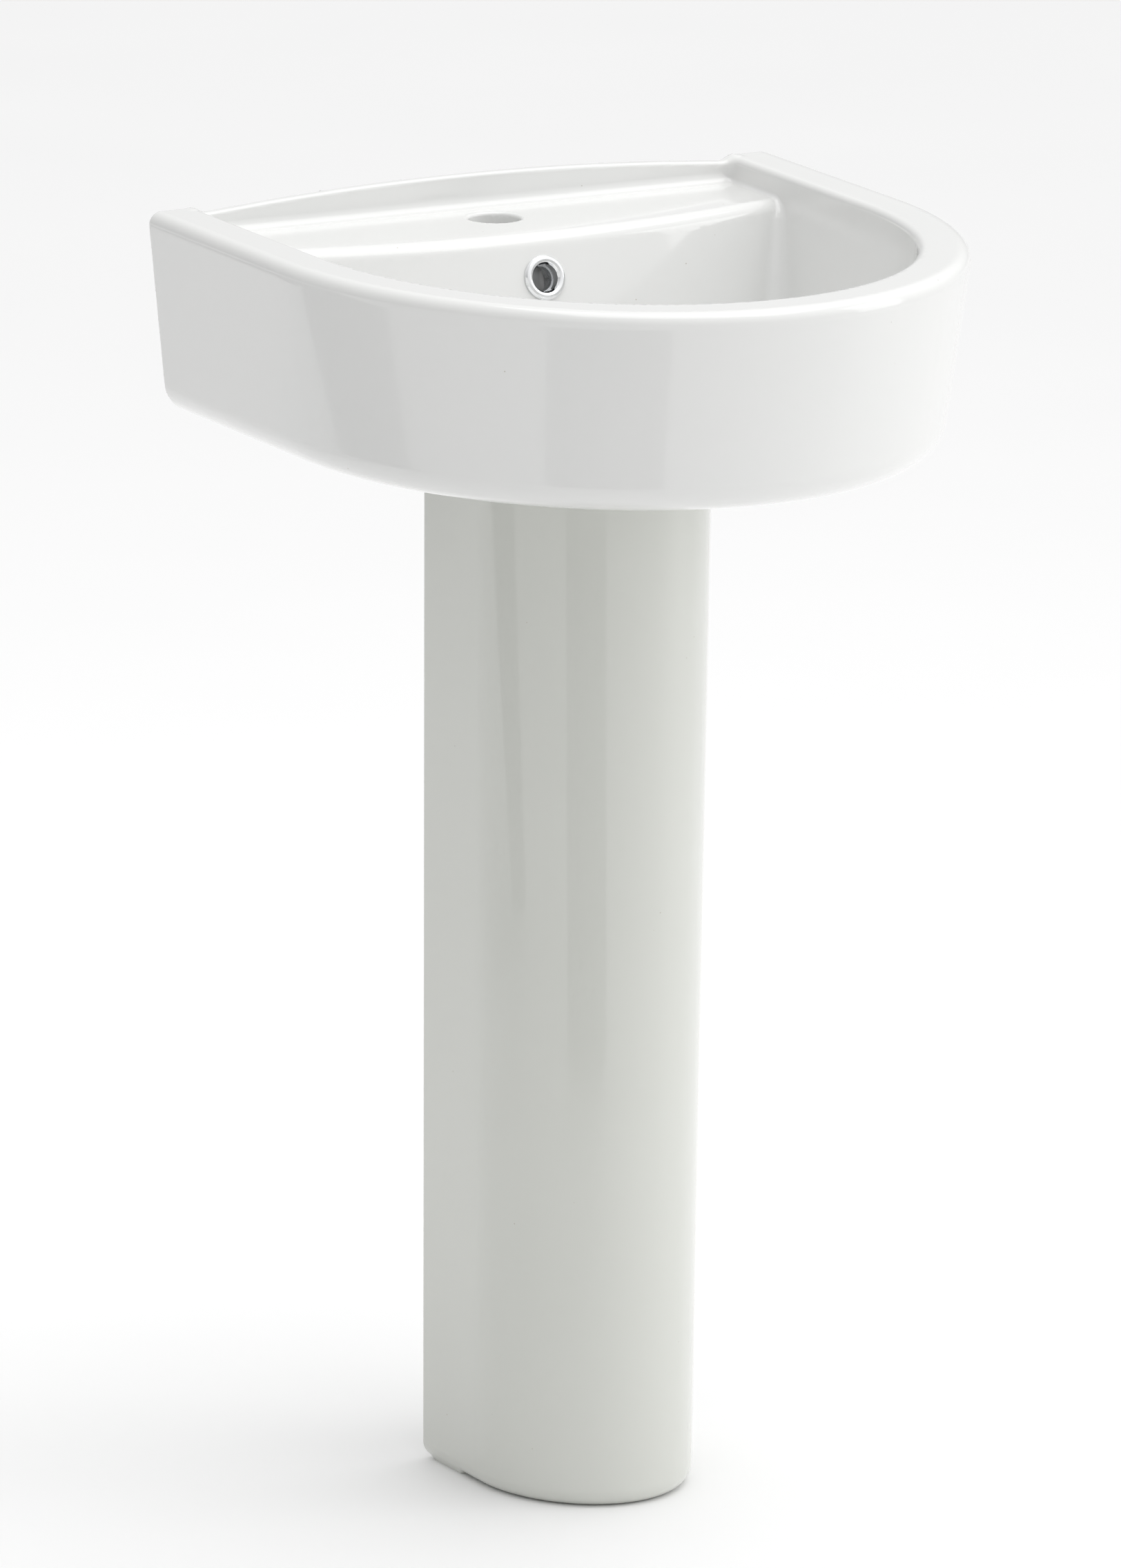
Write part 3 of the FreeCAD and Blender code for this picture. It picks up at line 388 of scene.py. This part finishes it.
def outlet_nut_distance(x, y, z):
    along = y - WASTE_Y
    reach = np.hypot(x, z - OUTLET_Z)
    body = drum(reach, along, 25.0, 43.5, 63.5, 2.0)
    grip = meet(ribs(x, z - OUTLET_Z, 24.6), slab(along, 45.5, 61.5), 1.0)
    body = join(body, grip, 1.0)
    body = cut(body, reach - PIPE_HOLE, 0.8)
    return cut(body, np.maximum(reach - 20.3, along - 59.6), 0.8)


# ---------------------------------------------------------------- meshes

def slopes(distance, points, reach=0.02):
    """Unit direction in which the distance grows fastest, and how fast, at each point."""
    grad = np.empty_like(points)
    for axis in range(3):
        step = np.zeros(3)
        step[axis] = reach
        ahead = distance(*(points + step).T)
        behind = distance(*(points - step).T)
        grad[:, axis] = (ahead - behind) / (2 * reach)
    rate = np.maximum(np.linalg.norm(grad, axis=1), 1e-6)
    return grad / rate[:, None], rate


def settle(distance, points, limit, rounds=4):
    """Move the points onto the surface where the distance is zero."""
    for _ in range(rounds):
        normal, rate = slopes(distance, points)
        move = np.clip(distance(*points.T) / np.maximum(rate, 0.3), -limit, limit)
        points = points - normal * move[:, None]
    return points


def first_mesh(distance, low, high, steps):
    """An even net of four-sided faces close to the surface."""
    low = np.array(low, float) - 2.5 * np.array(steps)
    counts = np.ceil((np.array(high) - low) / steps).astype(int) + 4
    lines = [low[i] + np.arange(counts[i]) * steps[i] for i in range(3)]
    x, y, z = np.meshgrid(*lines, indexing="ij", sparse=True)
    values = distance(*np.broadcast_arrays(x, y, z)) / min(steps)
    grid = openvdb.FloatGrid(3.0)
    grid.copyFromArray(np.clip(values, -3.0, 3.0).astype(np.float32))
    points, quads = grid.convertToQuads(isovalue=0.0)
    return low + points * np.array(steps), quads


def refine(mesh, distance, limit, turn):
    """Divide the edges along which the surface turns more than an angle, and settle again."""
    count = len(mesh.vertices)
    points = np.empty(count * 3)
    mesh.vertices.foreach_get("co", points)
    normal, _ = slopes(distance, points.reshape(-1, 3))
    ends = np.empty(len(mesh.edges) * 2, int)
    mesh.edges.foreach_get("vertices", ends)
    ends = ends.reshape(-1, 2)
    bend = np.sum(normal[ends[:, 0]] * normal[ends[:, 1]], axis=1)
    sharp = np.flatnonzero(bend < math.cos(math.radians(turn)))
    work = bmesh.new()
    work.from_mesh(mesh)
    work.edges.ensure_lookup_table()
    bmesh.ops.subdivide_edges(work, edges=[work.edges[i] for i in sharp], cuts=1,
                              use_grid_fill=True)
    work.to_mesh(mesh)
    work.free()
    points = np.empty(len(mesh.vertices) * 3)
    mesh.vertices.foreach_get("co", points)
    points = settle(distance, points.reshape(-1, 3), limit, rounds=2)
    mesh.vertices.foreach_set("co", points.ravel())


def carve(name, distance, low, high, steps, rounds=1, turn=12.0):
    """A mesh of the surface, with finer faces where it curves and exact normals.

    It is kept between the low and the high corner."""
    steps = np.array(steps, float)
    points, quads = first_mesh(distance, low, high, steps)
    points = settle(distance, points, limit=steps.min() * 0.6)
    mesh = bpy.data.meshes.new(name)
    mesh.from_pydata(points.tolist(), [], quads.tolist())
    for _ in range(rounds):
        refine(mesh, distance, steps.min() * 0.3, turn)
    points = np.empty(len(mesh.vertices) * 3)
    mesh.vertices.foreach_get("co", points)
    points = points.reshape(-1, 3)
    normal, _ = slopes(distance, points)
    mesh.vertices.foreach_set("co", np.clip(points, low, high).ravel() * MM)
    mesh.shade_smooth()
    mesh.update()
    mesh.normals_split_custom_set_from_vertices(normal.tolist())
    return add_object(name, mesh)


def add_object(name, mesh):
    piece = bpy.data.objects.new(name, mesh)
    bpy.context.scene.collection.objects.link(piece)
    return piece


def rounded_outline(outline, arc=5):
    """Points of a closed outline given as (radius, height, corner radius)."""
    found = []
    count = len(outline)
    for i, (u, v, radius) in enumerate(outline):
        here = np.array((u, v))
        before = np.array(outline[i - 1][:2]) - here
        after = np.array(outline[(i + 1) % count][:2]) - here
        if radius <= 0:
            found.append(here)
            continue
        near, far = np.linalg.norm(before), np.linalg.norm(after)
        before, after = before / near, after / far
        half = math.acos(np.clip(before @ after, -1, 1)) / 2
        reach = min(radius / math.tan(half), near * 0.49, far * 0.49)
        radius = reach * math.tan(half)
        middle = before + after
        middle /= np.linalg.norm(middle)
        centre = here + middle * radius / math.sin(half)
        start, end = here + before * reach - centre, here + after * reach - centre
        sweep = math.atan2(start[0] * end[1] - start[1] * end[0], start @ end)
        for k in range(arc + 1):
            angle = sweep * k / arc
            turn = np.array(((math.cos(angle), -math.sin(angle)),
                             (math.sin(angle), math.cos(angle))))
            found.append(centre + turn @ start)
    return np.array(found)


def turned(name, outline, place, segments=128):
    """A piece turned about an axis, from its closed outline."""
    profile = rounded_outline(outline)
    ring = np.arange(segments) * 2 * math.pi / segments
    points = []
    for u, v in profile:
        points.append(np.stack((u * np.cos(ring), u * np.sin(ring), np.full(segments, v)), 1))
    points = np.concatenate(points)
    rows = len(profile)
    following = np.roll(profile, -1, axis=0)
    edge = following - profile
    outward = np.stack((edge[:, 1], -edge[:, 0]), 1)
    normal = outward + np.roll(outward, 1, axis=0)
    normal /= np.maximum(np.linalg.norm(normal, axis=1), 1e-9)[:, None]
    normals = []
    for u, v in normal:
        normals.append(np.stack((u * np.cos(ring), u * np.sin(ring), np.full(segments, v)), 1))
    normals = np.concatenate(normals)
    faces = []
    for i in range(rows):
        j = (i + 1) % rows
        if profile[i][0] < 1e-6 and profile[j][0] < 1e-6:
            continue
        for k in range(segments):
            m = (k + 1) % segments
            faces.append((i * segments + k, i * segments + m, j * segments + m, j * segments + k))
    mesh = bpy.data.meshes.new(name)
    mesh.from_pydata((points * MM).tolist(), [], faces)
    mesh.shade_smooth()
    mesh.normals_split_custom_set_from_vertices(normals.tolist())
    mesh.transform(place)
    return add_object(name, mesh)


AT_WASTE = Matrix.Translation((0, WASTE_Y * MM, 0))
AT_OUTLET = (Matrix.Translation((0, WASTE_Y * MM, OUTLET_Z * MM))
             @ Matrix.Rotation(math.radians(-90), 4, "X"))
AT_OVERFLOW = (Matrix.Translation((0, OVERFLOW[0] * MM, OVERFLOW[1] * MM))
               @ Matrix.Rotation(math.radians(90) - OVERFLOW_LEAN, 4, "X"))


# ---------------------------------------------------------------- materials

class Look:
    """A principled material and short ways to build its nodes."""

    def __init__(self, name, **values):
        self.material = bpy.data.materials.new(name)
        self.material.use_nodes = True
        self.tree = self.material.node_tree
        self.shader = self.tree.nodes["Principled BSDF"]
        for key, value in values.items():
            self.shader.inputs[key.replace("_", " ")].default_value = value
        self.place = self.tree.nodes.new("ShaderNodeTexCoord").outputs["Object"]

    def node(self, kind, **inputs):
        made = self.tree.nodes.new(f"ShaderNode{kind}")
        for key, value in inputs.items():
            socket = made.inputs[key.replace("_", " ")]
            if isinstance(value, bpy.types.NodeSocket):
                self.tree.links.new(value, socket)
            else:
                socket.default_value = value
        return made

    def noise(self, scale, detail=2.0, roughness=0.5, stretch=None):
        place = self.place
        if stretch:
            place = self.node("Mapping", Vector=self.place, Scale=stretch).outputs["Vector"]
        return self.node("TexNoise", Vector=place, Scale=scale, Detail=detail,
                         Roughness=roughness).outputs["Fac"]

    def spots(self, scale, size):
        """1 inside small round spots scattered through space, 0 elsewhere."""
        cells = self.node("TexVoronoi", Vector=self.place, Scale=scale, Randomness=1.0)
        return self.ramp(cells.outputs["Distance"], ((size * 0.5, 1.0), (size, 0.0)))

    def ramp(self, value, stops):
        made = self.node("ValToRGB", Fac=value)
        band = made.color_ramp
        while len(band.elements) < len(stops):
            band.elements.new(0.5)
        for element, (where, shade) in zip(band.elements, stops):
            element.position = where
            colour = shade if isinstance(shade, tuple) else (shade, shade, shade)
            element.color = (*colour, 1.0)
        return made.outputs["Color"]

    def levels(self, value, low, high):
        """Stretch a noise value onto a range."""
        made = self.node("MapRange", Value=value)
        made.inputs["From Min"].default_value = 0.25
        made.inputs["From Max"].default_value = 0.75
        made.inputs["To Min"].default_value = low
        made.inputs["To Max"].default_value = high
        return made.outputs["Result"]

    def mix(self, share, first, second):
        made = self.tree.nodes.new("ShaderNodeMix")
        made.data_type = "RGBA"
        for place, value in ((0, share), (6, first), (7, second)):
            socket = made.inputs[place]
            if isinstance(value, bpy.types.NodeSocket):
                self.tree.links.new(value, socket)
            else:
                socket.default_value = value
        return made.outputs[2]

    def colour(self, socket):
        self.tree.links.new(socket, self.shader.inputs["Base Color"])

    def gloss(self, socket):
        self.tree.links.new(socket, self.shader.inputs["Roughness"])

    def bumps(self, *layers):
        """Stack (height, distance in millimetres) layers into the normal."""
        last = None
        for height, depth in layers:
            made = self.node("Bump", Height=height, Distance=depth * MM, Strength=1.0)
            if last:
                self.tree.links.new(last, made.inputs["Normal"])
            last = made.outputs["Normal"]
        self.tree.links.new(last, self.shader.inputs["Normal"])


def glaze(name, pale, deep):
    """Clear glaze over white vitreous china, with faint tone, waves and pinholes."""
    look = Look(name, Roughness=0.12, IOR=1.5, Coat_Weight=0.6, Coat_Roughness=0.04)
    tone = look.levels(look.noise(6.0, 3.0), 0.0, 1.0)
    colour = look.mix(tone, pale, deep)
    specks = look.mix(look.spots(38.0, 0.022), colour, (0.45, 0.42, 0.36, 1.0))
    look.colour(specks)
    look.gloss(look.levels(look.noise(11.0, 2.0), 0.09, 0.15))
    look.bumps((look.noise(9.0, 1.0), 0.25), (look.noise(420.0, 2.0), 0.008))
    return look.material


def plated(name, colour, rough):
    """Polished plate with faint handling marks."""
    look = Look(name, Base_Color=colour, Metallic=1.0)
    look.gloss(look.levels(look.noise(160.0, 4.0), rough * 0.6, rough * 1.5))
    look.bumps((look.noise(900.0, 2.0), 0.002))
    return look.material


def turned_brass():
    look = Look("turned_brass", Metallic=1.0)
    look.colour(look.mix(look.levels(look.noise(70.0, 4.0), 0.0, 1.0),
                         (0.78, 0.60, 0.30, 1.0), (0.60, 0.44, 0.20, 1.0)))
    look.gloss(look.levels(look.noise(240.0, 3.0), 0.22, 0.42))
    look.bumps((look.noise(60.0, 1.0, stretch=(1.0, 1.0, 40.0)), 0.02))
    return look.material


def drawn_steel():
    look = Look("drawn_steel", Metallic=1.0)
    look.colour(look.mix(look.noise(300.0, 3.0), (0.62, 0.63, 0.64, 1.0), (0.42, 0.43, 0.45, 1.0)))
    look.gloss(look.levels(look.noise(500.0, 3.0), 0.2, 0.4))
    look.bumps((look.noise(900.0, 2.0), 0.004))
    return look.material


def rubber():
    look = Look("moulded_rubber", IOR=1.45)
    look.colour(look.mix(look.levels(look.noise(90.0, 4.0), 0.0, 1.0),
                         (0.028, 0.028, 0.028, 1.0), (0.055, 0.053, 0.05, 1.0)))
    look.gloss(look.levels(look.noise(60.0, 3.0), 0.5, 0.75))
    look.bumps((look.noise(700.0, 3.0), 0.03))
    return look.material


def plastic():
    """Satin white polypropylene with a fine moulded grain and slight yellowing."""
    look = Look("moulded_plastic", IOR=1.49, Subsurface_Weight=0.1)
    look.shader.inputs["Subsurface Radius"].default_value = (0.004, 0.004, 0.003)
    look.colour(look.mix(look.levels(look.noise(25.0, 3.0), 0.0, 1.0),
                         (0.82, 0.82, 0.80, 1.0), (0.77, 0.76, 0.72, 1.0)))
    look.gloss(look.levels(look.noise(80.0, 3.0), 0.28, 0.42))
    look.bumps((look.noise(35.0, 1.0), 0.06), (look.noise(1200.0, 2.0), 0.012))
    return look.material


BASIN_GLAZE = glaze("basin_glaze", (0.76, 0.76, 0.75, 1.0), (0.74, 0.745, 0.735, 1.0))
# The pedestal gets a darker, slightly warmer copy of the basin's glaze: this is painted shade
# under the basin, not a different china
SHADED_PEDESTAL_GLAZE = glaze("shaded_pedestal_glaze", (0.625, 0.635, 0.595, 1.0), (0.61, 0.62, 0.58, 1.0))
CHROME = plated("chrome_plate", (0.88, 0.89, 0.90, 1.0), 0.05)
BRASS = turned_brass()
STEEL = drawn_steel()
RUBBER = rubber()
PLASTIC = plastic()
SLOT_LOOKS = {
    "vitreous_china": BASIN_GLAZE,
    "chrome": CHROME,
    "spring_steel": STEEL,
    "brass": BRASS,
    "black_rubber": RUBBER,
    "white_plastic": PLASTIC,
}
NODE_SLOTS = {part["node"]: part["material_slot"] for part in frame["record"]["subparts"]}
NODE_BODIES = {node: body for body, nodes in frame["record"]["behaviour"]["bodies"].items()
               for node in nodes}


# ---------------------------------------------------------------- pieces

def stand_in(piece, node, material=None):
    """Let a finer mesh stand for a CAD node."""
    slot = NODE_SLOTS[node]
    piece.data.materials.append(material or SLOT_LOOKS[slot])
    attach(piece, NODE_BODIES[node])
    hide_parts(node)
    return piece


def carved(node, distance, step, rounds=1, material=None):
    low, high = box_mm(node)
    steps = step if isinstance(step, tuple) else (step, step, step)
    piece = carve(f"{node}_finished", distance, low, high, steps, rounds)
    return stand_in(piece, node, material)


def make_ceramics():
    carved("basin", basin_distance, 3.2, rounds=1, material=BASIN_GLAZE)
    # the pedestal's glaze carries painted shade: it is darker than the basin's glaze
    carved("pedestal", pedestal_distance, (3.0, 3.0, 6.0), rounds=1, material=SHADED_PEDESTAL_GLAZE)


def make_trap():
    carved("waste_flange", flange_distance, 1.1)
    carved("waste_backnut", backnut_distance, 1.0)
    carved("trap_inlet_nut", inlet_nut_distance, 1.0)
    carved("trap_body", trap_head_distance, 1.4)
    carved("trap_cup", cup_distance, 1.3)
    carved("trap_outlet_nut", outlet_nut_distance, 1.0)
    shoulder = 65.5
    end = WALL - WASTE_Y
    stand_in(turned("waste_pipe_finished", [
        (14.0, 41.0, 0.5), (15.8, 41.0, 1.0), (15.8, shoulder, 0.3), (16.0, shoulder, 0.1),
        (16.0, end, 0.6), (14.0, end, 0.4)], AT_OUTLET), "waste_pipe")
    stand_in(turned("waste_lower_washer_finished", [
        (NUT_HOLE, 664.0, 0.5), (31.0, 664.0, 1.0), (35.0, 668.0, 1.0), (35.0, 672.0, 0.8),
        (NUT_HOLE, 672.0, 0.5)], AT_WASTE), "waste_lower_washer")


def make_plug():
    under = FLANGE_TOP + 0.3
    stand_in(turned("waste_plug_finished", [
        (0.0, 706.5, 0.0), (6.5, 706.5, 0.5), (6.5, 709.3, 0.5), (16.5, 709.3, 0.4),
        (16.5, under, 0.4), (25.0, under, 0.5), (25.0, under + 1.6, 0.9),
        (20.0, under + 2.9, 12.0), (12.0, under + 3.7, 20.0), (0.0, under + 4.0, 0.0)],
        AT_WASTE), "waste_plug")
    stand_in(turned("plug_seal_finished", [
        (16.5, 709.9, 1.65), (19.9, 709.9, 1.65), (19.9, 713.3, 1.65), (16.5, 713.3, 1.65)],
        AT_WASTE), "plug_seal")


def make_overflow_trim():
    stand_in(turned("overflow_ring_finished", [
        (9.1, -10.0, 0.3), (10.7, -10.0, 0.3), (10.7, 0.2, 0.1), (15.0, 0.2, 0.2),
        (15.0, 1.4, 1.0), (13.9, 2.9, 1.2), (12.2, 3.6, 1.6), (10.4, 2.9, 1.2),
        (9.1, 1.1, 0.8)], AT_OVERFLOW), "overflow_ring")


def finish_cad_nodes():
    """Give every CAD node that still shows the material of its slot."""
    for node, piece in frame["nodes"].items():
        for place in piece.material_slots:
            place.material = SLOT_LOOKS[NODE_SLOTS[node]]


# ---------------------------------------------------------------- studio

def make_floor():
    look = Look("studio_floor", Roughness=0.6)
    look.colour(look.mix(look.levels(look.noise(3.0, 2.0), 0.0, 1.0),
                         (0.95, 0.95, 0.95, 1.0), (0.94, 0.94, 0.94, 1.0)))
    mesh = bpy.data.meshes.new("floor")
    size = 20.0
    mesh.from_pydata([(-size, -size, 0), (size, -size, 0), (size, size, 0), (-size, size, 0)],
                     [], [(0, 1, 2, 3)])
    mesh.materials.append(look.material)
    add_object("floor", mesh)


def make_world():
    """White surroundings, brighter above the sink and on its right than on its left."""
    world = bpy.data.worlds.new("studio")
    world.use_nodes = True
    tree = world.node_tree
    place = tree.nodes.new("ShaderNodeTexCoord")
    side = tree.nodes.new("ShaderNodeVectorMath")
    side.operation = "DOT_PRODUCT"
    side.inputs[1].default_value = (0.24, -0.135, 0.50)
    level = tree.nodes.new("ShaderNodeMapRange")
    level.inputs["From Min"].default_value = -1.0
    level.inputs["From Max"].default_value = 1.0
    level.inputs["To Min"].default_value = -0.38
    level.inputs["To Max"].default_value = 1.62
    back = tree.nodes["Background"]
    back.inputs["Color"].default_value = (1.0, 1.0, 1.0, 1.0)
    tree.links.new(place.outputs["Generated"], side.inputs[0])
    tree.links.new(side.outputs["Value"], level.inputs["Value"])
    tree.links.new(level.outputs["Result"], back.inputs["Strength"])
    bpy.context.scene.world = world


def facing(place, target):
    """A matrix that stands at a place and looks at the target."""
    direction = Vector(target) - Vector(place)
    return Matrix.Translation(place) @ direction.to_track_quat("-Z", "Y").to_matrix().to_4x4()


def make_camera():
    """A long lens from the front left, slightly above, aimed at the middle of the sink."""
    place = Vector((-4.4036, -7.7851, 2.6995))
    target = Vector((-0.03491, 0.02268, 0.4854))
    roll = math.radians(0.65)
    data = bpy.data.cameras.new("camera")
    data.lens = 321.56
    data.sensor_width = 36.0
    data.clip_end = 100.0
    camera = bpy.data.objects.new("camera", data)
    bpy.context.scene.collection.objects.link(camera)
    camera.matrix_world = facing(place, target) @ Matrix.Rotation(roll, 4, "Z")
    bpy.context.scene.camera = camera


def make_light(name, place, target, size, power):
    data = bpy.data.lights.new(name, "AREA")
    data.shape = "RECTANGLE"
    data.size, data.size_y = size
    data.energy = power
    lamp = bpy.data.objects.new(name, data)
    bpy.context.scene.collection.objects.link(lamp)
    lamp.matrix_world = facing(place, target)


def make_card(name, distance, corners):
    """A grey board beside the sink, from the azimuth and height of its corners.

    It shows only in the sink's shading and reflections."""
    look = Look(name, Roughness=0.9)
    look.colour(look.levels(look.noise(4.0, 2.0), 0.40, 0.45))
    points = []
    for azimuth, height in corners:
        angle = math.radians(azimuth)
        points.append((distance * math.cos(angle), distance * math.sin(angle), height))
    mesh = bpy.data.meshes.new(name)
    mesh.from_pydata(points, [], [tuple(range(len(points)))])
    mesh.materials.append(look.material)
    card = add_object(name, mesh)
    card.visible_camera = False


def make_studio():
    make_floor()
    make_world()
    make_camera()
    middle = (0.0, 0.0, 0.6)
    make_light("overhead", (0.4, -0.2, 3.0), middle, (2.4, 2.4), 24.0)
    make_light("right_side", (2.6, -1.4, 1.4), middle, (1.2, 2.4), 12.0)
    make_card("left_card", 1.4, [(162, 0.05), (175, 0.05), (150, 0.7), (118, 0.7)])
    make_card("front_card", 1.1, [(-146, 0.02), (-107, 0.02), (-111, 0.45), (-149, 0.45)])
    bpy.context.scene.view_settings.view_transform = "Standard"


make_ceramics()
make_trap()
make_plug()
make_overflow_trim()
finish_cad_nodes()
make_studio()
